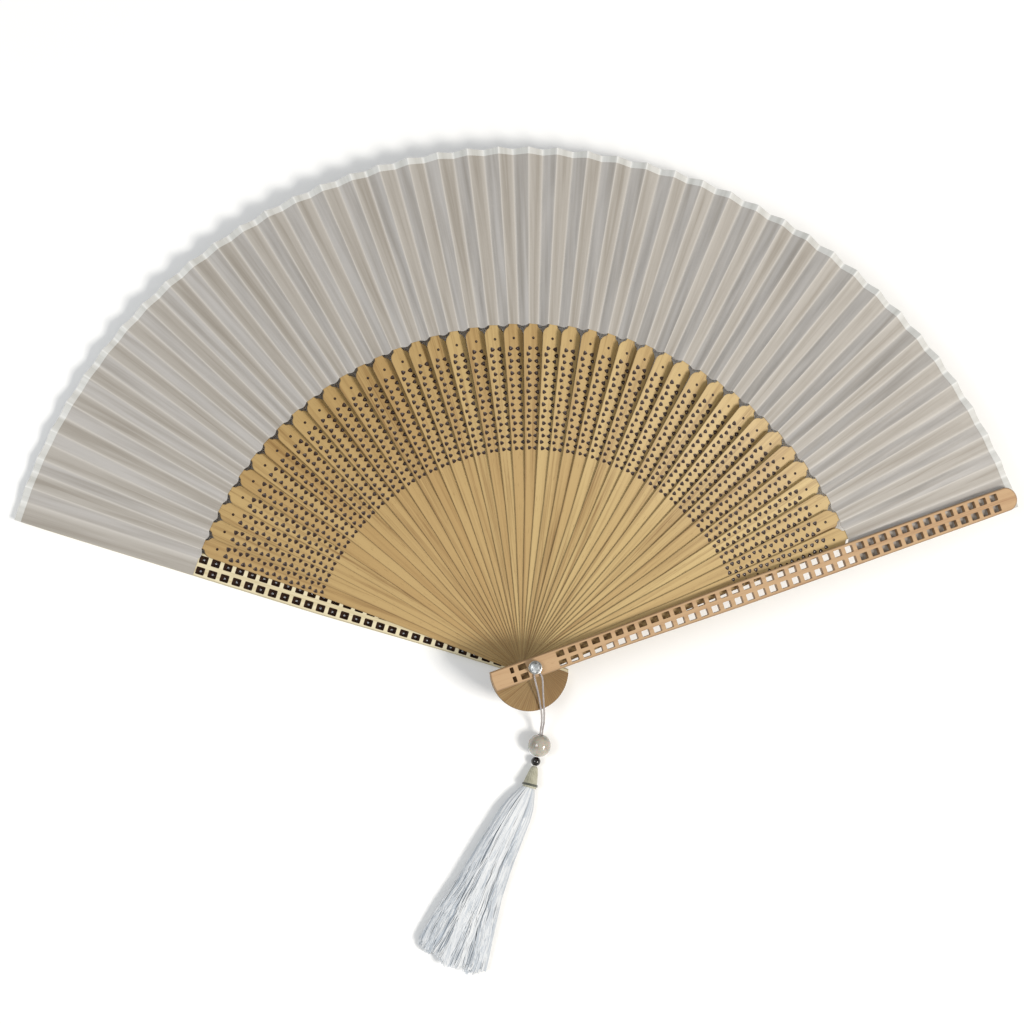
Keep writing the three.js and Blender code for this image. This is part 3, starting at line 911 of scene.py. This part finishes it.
def slab(surface, rows, below, above):
    """A closed sheet between two heights off a surface of rows of points."""
    columns = len(PROFILE)
    lift = Vector((0, 0, above))
    sink = Vector((0, 0, below))
    points = [place + lift for place in surface] + [place + sink for place in surface]
    count = len(surface)
    faces = []
    for row in range(rows):
        for column in range(columns - 1):
            a = row * columns + column
            b, c, d = a + 1, a + columns + 1, a + columns
            faces.append((d, c, b, a))
            faces.append((a + count, b + count, c + count, d + count))
    border = list(range(columns))
    border += [row * columns + columns - 1 for row in range(1, rows + 1)]
    border += [rows * columns + column for column in range(columns - 2, -1, -1)]
    border += [row * columns for row in range(rows - 1, 0, -1)]
    for a, b in zip(border, border[1:] + border[:1]):
        faces.append((a, b, b + count, a + count))
    return points, faces


def panel_layers(rows):
    """Backed and painted fold highlight for each point of both faces of a slab."""
    backed = [entry[2] for entry in PROFILE] * (rows + 1) * 2
    crease_highlight = [entry[3] for entry in PROFILE] * (rows + 1) * 2
    return {"backed": backed, "crease_highlight": crease_highlight}


def panel_uvs(panel, surface):
    angle = body_angle(panel)
    along = Vector((math.cos(angle), math.sin(angle), 0))
    across = Vector((math.sin(angle), -math.cos(angle), 0))
    uvs = [((place.dot(across) + panel * UV_STRIDE) * MM, place.dot(along) * MM) for place in surface]
    return uvs * 2


def blend_panel(piece):
    """Bakes the panel's placement into its mesh."""
    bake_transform(piece)


def flat_size(panel):
    """Flat width and length of a panel's cut, and its area, in metres."""
    def width(radius):
        corners = [panel_place(panel, (0, 0), stretch, 0, radius) for stretch in range(3)]
        corners.append(panel_place(panel, (0, 0), 2, 1, radius))
        return sum((b - a).length for a, b in zip(corners, corners[1:])) * MM
    length = (LEAF_OUTER - LEAF_INNER) * MM
    return (width(LEAF_OUTER), length), (width(LEAF_INNER) + width(LEAF_OUTER)) / 2 * length


def leaf_part(name, panel, shifts, reach, rows, relief, heights, material, node):
    """A closed sheet over the part of a panel between two distances from the rivet."""
    surface = panel_surface(panel, shifts, *reach, rows, relief)
    points, faces = slab(surface, rows, *heights)
    uvs = panel_uvs(panel, surface)
    piece = make_piece(
        f"{name}_{panel + 1:02d}", points, faces, material, 60, uvs, panel_layers(rows)
    )
    blend_panel(piece)
    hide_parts(node)
    return piece


def make_leaf():
    leaf_reach = (LEAF_INNER, LEAF_OUTER - LEAF_EDGE_INSET)
    edging_reach = (LEAF_OUTER + EDGING_LIP - EDGING_WIDTH, LEAF_OUTER + EDGING_LIP)
    for panel in range(FRONT_GUARD):
        shifts = (
            RANDOM.uniform(-FOLD_STRAY_BACK, FOLD_STRAY), RANDOM.uniform(-FOLD_STRAY, FOLD_STRAY_BACK)
        )
        piece = leaf_part(
            "leaf_panel", panel, shifts, leaf_reach, LEAF_ROWS, 1.0, LEAF_FACES, LEAF_SILK,
            "silk_leaf",
        )
        hem = leaf_part(
            "leaf_edging", panel, shifts, edging_reach, EDGING_ROWS, 0.0, EDGING_FACES, EDGING_SILK,
            "leaf_edging",
        )
        flat, area = flat_size(panel)


make_leaf()

# --- Rivet ---

RIVET_AXIS = (Vector((0, 0, 0)), Vector((0, 0, 1)))
RIVET_SMOOTH = 35
CENTRE_FLAT_UV = 0.5
DISC_SIDES = 40
SHAFT_SIDES = 28
GEM_SIDES = 10
LOW, HIGH = 0, 1

# Turned profiles: (radius, end of the solid it is measured from, height above that end).
BEZEL_PROFILE = [
    (0.6, LOW, 0), (2.0, LOW, 0), (2.35, LOW, 0.15), (2.5, LOW, 0.45), (2.5, HIGH, -0.15),
    (2.42, HIGH, 0.02), (2.26, HIGH, 0.06), (2.12, HIGH, -0.02), (2.08, LOW, 0.55), (0.6, LOW, 0.5),
]
BACK_HEAD_PROFILE = [
    (0.3, LOW, 0), (2.7, LOW, 0), (2.93, LOW, 0.1), (3.0, LOW, 0.3), (3.0, HIGH, -0.08),
    (2.9, HIGH, 0), (0.3, HIGH, 0),
]
SHAFT_PROFILE = [
    (0.3, LOW, 0), (1.38, LOW, 0), (1.48, LOW, 0.12), (1.48, HIGH, -0.12), (1.38, HIGH, 0),
    (0.3, HIGH, 0),
]
# The crystal's rings of corners: the same, and how far the ring is turned, in facets.
CRYSTAL_RINGS = [
    (0.5, LOW, 0, 0), (2.0, LOW, 0.1, 0), (2.04, LOW, 0.55, 0.5), (1.62, HIGH, -0.3, 0),
    (1.0, HIGH, 0, 0.5),
]


def solid_ends(node):
    """The heights of a solid's underside and top."""
    return [corner.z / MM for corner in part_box(node)]


def make_turned(name, node, profile, sides):
    """A closed solid of revolution round the rivet's axis, with a small flat at each end."""
    ends = solid_ends(node)
    heights = [(radius, ends[end] + above) for radius, end, above in profile]
    uvs = []
    for radius, height in heights:
        girth = 2 * math.pi * max(radius, CENTRE_FLAT_UV) * MM
        uvs += [(step / sides * girth, height * MM) for step in range(sides)]
    points = turned_points(heights, sides, *RIVET_AXIS)
    faces = ring_faces(len(heights), sides)
    piece = make_piece(name, points, faces, RIVET_METAL, RIVET_SMOOTH, uvs)
    show(piece, "back_guard", "rivet_metal", node)


def make_crystal():
    """Rings of corners joined by flat facets: triangles where a ring is turned, squares where not."""
    ends = solid_ends("rivet_crystal")
    points = []
    for radius, end, above, twist in CRYSTAL_RINGS:
        for step in range(GEM_SIDES):
            angle = (step + twist) / GEM_SIDES * 2 * math.pi
            points.append(Vector((radius * math.cos(angle), radius * math.sin(angle), ends[end] + above)))
    faces = [tuple(range(GEM_SIDES))[::-1]]
    for ring, (below, above) in enumerate(zip(CRYSTAL_RINGS, CRYSTAL_RINGS[1:])):
        turned = above[3] - below[3]
        for side in range(GEM_SIDES):
            a = ring * GEM_SIDES + side
            b = ring * GEM_SIDES + (side + 1) % GEM_SIDES
            if turned > 0:
                faces += [(a, b, a + GEM_SIDES), (b, b + GEM_SIDES, a + GEM_SIDES)]
            elif turned < 0:
                faces += [(a, b, b + GEM_SIDES), (a, b + GEM_SIDES, a + GEM_SIDES)]
            else:
                faces.append((a, b, b + GEM_SIDES, a + GEM_SIDES))
    faces.append(tuple(range(len(points) - GEM_SIDES, len(points))))
    gem = make_piece("rivet_crystal_gem", points, faces, CRYSTAL_GLASS)
    show(gem, "back_guard", "crystal_glass", "rivet_crystal")


make_turned("rivet_bezel_ring", "rivet_bezel", BEZEL_PROFILE, DISC_SIDES)
make_crystal()
make_turned("rivet_back_disc", "rivet_back_head", BACK_HEAD_PROFILE, DISC_SIDES)
make_turned("rivet_shaft", "rivet_pin", SHAFT_PROFILE, SHAFT_SIDES)

# --- Tassel ---

CORD_DIAMETER = 0.7
CORD_SIDES = 12
CORD_TWIST = 1.1
CORD_WAIST = 0.8
CORD_STEPS = 8

LEFT_STRAND = [
    (-0.3, -2.3, 26.6),
    (-0.05, -4.1, 26.6),
    (0.61, -5.9, 24.6),
    (1.7, -8.2, 20.2),
    (2.72, -11.0, 16.5),
    (3.43, -13.8, 14.5),
    (3.96, -16.4, 13.25),
    (4.43, -18.7, 10.9),
    (4.77, -20.8, 7.9),
    (4.76, -23.0, 5.8),
    (4.6, -24.8, 5.0),
    (4.4, -26.4, 4.8),
]
RIGHT_STRAND = [
    (1.7, -1.7, 26.6),
    (2.6, -3.6, 26.6),
    (3.1, -5.6, 24.6),
    (3.75, -8.0, 20.2),
    (4.35, -10.8, 16.5),
    (4.76, -13.7, 14.5),
    (5.04, -16.4, 13.25),
    (5.35, -18.8, 10.9),
    (5.66, -21.0, 7.9),
    (5.55, -23.1, 5.8),
    (5.38, -24.9, 5.0),
    (5.18, -26.5, 4.8),
]

BEAD_CENTRE = Vector((4.31, -29.6, 4.3))
BEAD_MOUTH = Vector((4.85, -25.3, 4.8))
BEAD_RADIUS = 4.25
BEAD_BORE = 1.15
BEAD_FINENESS = (48, 28)
SPACER_CENTRE = Vector((3.05, -35.6, 2.5))
SPACER_RADIUS = 1.75
SPACER_BORE = 0.5
SPACER_FINENESS = (32, 18)
MOUTH_ROUNDING = 0.06
MOUTH_DEPTH = 0.1
BORE_WAIST = 0.97
CAP_TOP = Vector((2.54, -37.7, 2.6))
CAP_FOOT = Vector((0.3, -45.2, 3.1))
SKIRT_FOOT = Vector((-31.5, -110.2, 3))


def make_cord(name, route):
    """A two-ply cord: its section is a figure of two threads that turns along its length."""
    line = smooth_line([Vector(place) for place in route], CORD_STEPS)
    points, uvs = [], []
    travelled = 0.0
    for index, (here, (side, other)) in enumerate(zip(line, frames_along(line))):
        travelled += (here - line[max(index - 1, 0)]).length
        for angle in turns(CORD_SIDES):
            lobe = lerp(CORD_WAIST, 1, abs(math.cos(angle - travelled * CORD_TWIST)))
            out = side * math.cos(angle) + other * math.sin(angle)
            points.append(here + out * (CORD_DIAMETER / 2 * lobe))
            uvs.append((angle * CORD_DIAMETER / 2 * MM, travelled * MM))
    piece = make_piece(name, points, ring_faces(len(line), CORD_SIDES), CORD_SILK, 60, uvs)
    return piece, [here * MM for here in line], travelled * MM


def bored_ball(name, centre, towards, radius, bore, material, fineness):
    """A ball with a bore through it, whose mouths are rounded."""
    sides, steps = fineness
    start = math.asin(bore / radius)
    first = start + MOUTH_ROUNDING
    profile = []
    for step in range(steps + 1):
        angle = lerp(first, math.pi - first, step / steps)
        profile.append((radius * math.sin(angle), -radius * math.cos(angle)))
    mouth = radius * math.cos(start) - MOUTH_DEPTH
    profile += [(bore, mouth), (bore * BORE_WAIST, 0), (bore, -mouth)]
    points = turned_points(profile, sides, centre, towards)
    faces = ring_faces(len(profile), sides, closed_row=True)
    return make_piece(name, points, faces, material, 50)


CAP_SIDES = 72
CAP_STRANDS = 18
CAP_STEPS = 24
CAP_TWIST = 3
GROOVE_DEPTH = 0.28
GROOVE_RISE = 8
GROOVE_LEAST = 0.3
CAP_OUTLINE = [(-0.05, 0.8), (0, 1.1), (0.06, 1.4), (0.3, 1.85), (0.7, 2.5), (0.9, 2.75), (1, 2.6)]


def make_cap():
    """The folded upper end of the skirt's threads: a cone of strands that run down and slightly round."""
    axis, side, other = axes_between(CAP_TOP, CAP_FOOT)
    length = (CAP_FOOT - CAP_TOP).length
    points, uvs = [], []
    for step in range(CAP_STEPS + 1):
        share = lerp(CAP_OUTLINE[0][0], 1, step / CAP_STEPS)
        body = piecewise(CAP_OUTLINE, share)
        for angle in turns(CAP_SIDES):
            lobe = abs(math.sin(angle * CAP_STRANDS / 2 + share * CAP_TWIST))
            radius = body - GROOVE_DEPTH * (1 - lobe) * clamp(share * GROOVE_RISE, GROOVE_LEAST)
            out = side * math.cos(angle) + other * math.sin(angle)
            points.append(CAP_TOP + axis * (length * share) + out * radius)
            uvs.append((angle * body * MM, length * share * MM))
    faces = ring_faces(CAP_STEPS + 1, CAP_SIDES)
    cap = make_piece("tassel_cap_strands", points, faces, CAP_SILK, 70, uvs)
    return show(cap, "tassel", "cap_silk", "tassel_cap")


BINDING_TURNS = 2
BINDING_STEPS = 100
BINDING_SIDES = 8
BINDING_RADIUS = 0.2
BINDING_PITCH = 0.42
BINDING_PLACE = 1.6
BINDING_COIL_RADIUS = 2.78
BINDING_WANDER = 0.06
BINDING_WANDERS = 2.3
BINDING_UV_STEP = 0.5


def make_binding():
    """A few turns of dark thread round the foot of the cap."""
    axis, side, other = axes_between(CAP_TOP, CAP_FOOT)
    start = (CAP_FOOT - CAP_TOP).length - BINDING_PLACE
    line = []
    for step in range(BINDING_STEPS + 1):
        turns = step / BINDING_STEPS * BINDING_TURNS
        angle = turns * 2 * math.pi
        radius = BINDING_COIL_RADIUS + BINDING_WANDER * math.sin(angle * BINDING_WANDERS)
        out = side * math.cos(angle) + other * math.sin(angle)
        line.append(CAP_TOP + axis * (start + BINDING_PITCH * turns) + out * radius)
    points, uvs = tube(line, BINDING_RADIUS, BINDING_SIDES, BINDING_UV_STEP)
    faces = ring_faces(len(line), BINDING_SIDES)
    piece = make_piece("tassel_binding_wound", points, faces, BINDING_THREAD, 60, uvs)
    return show(piece, "tassel", "binding_thread", "tassel_binding")


# Outline of the skirt where it lies: (share of its length, half width, half height).
SKIRT_OUTLINE = [(0, 2.2, 2.1), (0.04, 3.6, 2.4), (0.09, 5.0, 2.6), (0.15, 6.0, 2.8), (0.38, 7.5, 3.1),
                 (0.57, 9.0, 3.1), (0.75, 11.6, 2.9), (0.93, 13.9, 2.4), (1, 13.6, 2.1)]
SKIRT_BOW = 1.3
SKIRT_WIDTHS = [(share, width) for share, width, _ in SKIRT_OUTLINE]
SKIRT_HEIGHTS = [(share, height) for share, _, height in SKIRT_OUTLINE]
THREAD_BUNDLES = 90
THREADS_PER_BUNDLE = 10
THREAD_STEPS = 30
THREAD_SIDES = 4
THREAD_RADIUS = 0.17
THREAD_UV_STEP = 2.4
SKIRT_FLOOR = 0.15
SECTION_FILL = 0.95
SECTION_LEAST = 0.02
CORE_SHARE = 0.8
CORE_STEPS = 24
CORE_SIDES = 24
CORE_REACH = 0.94
CORE_RIDGE = 0.06
CORE_RIDGES = 7
CORE_TWIST = 5
CORE_UV = (4, 70)

# How a thread sways to the side, twice over, and up and down: its size, how often it does so over the
# skirt's length, and how fast it moves on with the thread's phase.
SWAY = (1, 17, 1)
QUICK_SWAY = (0.5, 41, 2.3)
LIFT = (0.12, 23, 1.7)
LOOSENING = 3

# Where the bundles lie round the section and how far out, how long they are and how pale.
BUNDLE_PLACES = (-0.25 * math.pi, 1.25 * math.pi)
BUNDLE_DEPTHS = (0.82, 0.97)
EDGE_BUNDLES = 8
EDGE_DEPTH = 0.93
BUNDLE_REACHES = (0.965, 1.0)
FOOT_ROUNDING = 0.07
BUNDLE_TONES = (0.1, 1)

# How the threads of a bundle differ: the first three are typical strays, the rest are ranges.
STRAY_ACROSS = 0.05
STRAY_UP = 0.06
STRAY_PHASE = 0.5
THREAD_REACHES = (0.985, 1.0)
THREAD_SWAYS = (0.014, 0.045)
THREAD_RADII = (0.75, 1.15)
BUNDLE_TONE_SHARE = 0.6
THREAD_TONES = (0, 0.45)


def skirt_place(share, across, up):
    """A place in the skirt: across and up run from -1 to 1 over its section."""
    half_width = piecewise(SKIRT_WIDTHS, share)
    half_height = piecewise(SKIRT_HEIGHTS, share)
    axis = SKIRT_FOOT - CAP_FOOT
    side = Vector((-axis.y, axis.x, 0)).normalized()
    centre = CAP_FOOT.lerp(SKIRT_FOOT, share)
    height = SKIRT_FLOOR + half_height * (1 + up)
    bow = SKIRT_BOW * math.sin(math.pi * share)
    return Vector((centre.x, centre.y, 0)) + side * (half_width * across - bow) + Vector((0, 0, height))


def swing(kind, phase, share):
    size, turns, pace = kind
    return size * math.sin(phase * pace + share * turns)


def thread_line(across, up, reach, phase, wave):
    """A thread from the cap to the foot, that sways more the further it is from the cap."""
    line = []
    for step in range(THREAD_STEPS + 1):
        share = step / THREAD_STEPS * reach
        loose = min(1, share * LOOSENING)
        sway = wave * loose * (swing(SWAY, phase, share) + swing(QUICK_SWAY, phase, share))
        sideways = clamp(across + sway, -1, 1)
        limit = math.sqrt(max(SECTION_LEAST, 1 - sideways * sideways)) * SECTION_FILL
        height = clamp(up + loose * swing(LIFT, phase, share), -limit, limit)
        line.append(skirt_place(share, sideways, height))
    return line


def skirt_core():
    """Points and UVs of the bundle of threads inside the skirt, as one ridged body."""
    points, uvs = [], []
    for step in range(CORE_STEPS + 1):
        share = step / CORE_STEPS * CORE_REACH
        for angle in turns(CORE_SIDES):
            size = CORE_SHARE * (1 + CORE_RIDGE * math.sin(angle * CORE_RIDGES + share * CORE_TWIST))
            points.append(skirt_place(share, size * math.cos(angle), size * math.sin(angle)))
            uvs.append((angle * CORE_UV[0] * MM, share * CORE_UV[1] * MM))
    return points, uvs


def make_skirt():
    """Loose silk threads in wavy bundles that fan out and lie on each other, round a core of threads."""
    points, uvs = skirt_core()
    faces = [face[::-1] for face in ring_faces(CORE_STEPS + 1, CORE_SIDES)]
    tones = [0.0] * len(points)
    thread_faces = ring_faces(THREAD_STEPS + 1, THREAD_SIDES)
    for bundle in range(THREAD_BUNDLES):
        around = RANDOM.uniform(*BUNDLE_PLACES)
        out = RANDOM.uniform(*BUNDLE_DEPTHS)
        if bundle < EDGE_BUNDLES:
            around, out = math.pi * (bundle % 2), EDGE_DEPTH
        bundle_across, bundle_up = out * math.cos(around), out * math.sin(around)
        phase = RANDOM.uniform(0, 2 * math.pi)
        reach = RANDOM.uniform(*BUNDLE_REACHES) - FOOT_ROUNDING * abs(bundle_across) ** 3
        bundle_tone = RANDOM.uniform(*BUNDLE_TONES)
        for _ in range(THREADS_PER_BUNDLE):
            across = bundle_across + RANDOM.gauss(0, STRAY_ACROSS)
            up = bundle_up + RANDOM.gauss(0, STRAY_UP)
            own_phase = phase + RANDOM.gauss(0, STRAY_PHASE)
            own_reach = reach * RANDOM.uniform(*THREAD_REACHES)
            line = thread_line(across, up, own_reach, own_phase, RANDOM.uniform(*THREAD_SWAYS))
            radius = THREAD_RADIUS * RANDOM.uniform(*THREAD_RADII)
            tone = clamp(bundle_tone * BUNDLE_TONE_SHARE + RANDOM.uniform(*THREAD_TONES))
            start = len(points)
            thread_points, thread_uvs = tube(line, radius, THREAD_SIDES, THREAD_UV_STEP, start)
            points += thread_points
            uvs += thread_uvs
            tones += [tone] * len(thread_points)
            faces += [tuple(start + corner for corner in face) for face in thread_faces]
    skirt = make_piece("tassel_skirt_threads", points, faces, SKIRT_SILK, 80, uvs, {"tone": tones})
    return show(skirt, "tassel", "skirt_silk", "tassel_skirt")


def make_tassel():
    left, left_line, left_length = make_cord("tassel_strand_left", LEFT_STRAND)
    right, right_line, right_length = make_cord("tassel_strand_right", RIGHT_STRAND)
    bead = bored_ball(
        "stone_bead_ball", BEAD_CENTRE, BEAD_MOUTH, BEAD_RADIUS, BEAD_BORE, BEAD_STONE, BEAD_FINENESS
    )
    spacer = bored_ball(
        "spacer_bead_ball", SPACER_CENTRE, CAP_TOP, SPACER_RADIUS, SPACER_BORE, SPACER_GLOSS,
        SPACER_FINENESS,
    )
    show(left, "tassel", "cord_silk", "tassel_cord_left")
    show(right, "tassel", "cord_silk", "tassel_cord_right")
    show(bead, "tassel", "bead_stone", "stone_bead")
    show(spacer, "tassel", "spacer_gloss", "spacer_bead")
    cap = make_cap()
    binding = make_binding()
    make_skirt()


make_tassel()

# --- Floor and light ---

FLOOR_SIZE = 6.0
WORLD_STRENGTH = 0.43
LIGHT_TARGET = Vector((0, 0.06, 0))


def make_floor():
    material, tree, shader = new_material("floor", Roughness=0.9)
    mottle = noise_at(tree, object_place(tree), 6, 3)
    link(shader, "Base Color", mix_colors(tree, mottle, srgb(244, 244, 242), srgb(250, 250, 249)))
    half = FLOOR_SIZE / 2 / MM
    corners = [(-half, -half, 0), (half, -half, 0), (half, half, 0), (-half, half, 0)]
    floor = make_piece("floor", corners, [(0, 1, 2, 3)], material)


def area_light(name, place, size, power, color):
    """A square lamp that looks at the fan. Its place and size are in metres."""
    data = bpy.data.lights.new(name, "AREA")
    data.size = size
    data.energy = power
    data.color = color
    light = bpy.data.objects.new(name, data)
    light.location = place
    light.rotation_euler = (Vector(place) - LIGHT_TARGET).to_track_quat("Z", "Y").to_euler()
    bpy.context.scene.collection.objects.link(light)


def make_light():
    world = bpy.data.worlds.new("studio")
    world.use_nodes = True
    background = world.node_tree.nodes["Background"]
    background.inputs["Color"].default_value = (1.0, 1.0, 1.0, 1.0)
    background.inputs["Strength"].default_value = WORLD_STRENGTH
    bpy.context.scene.world = world
    area_light("key", (0.75, -0.4, 1.05), size=0.4, power=14, color=(1.0, 0.96, 0.91))
    area_light("fill", (-0.85, 0.1, 1.1), size=0.6, power=6.5, color=(0.91, 0.95, 1.0))
    bpy.context.scene.view_settings.view_transform = "Standard"


make_floor()
make_light()
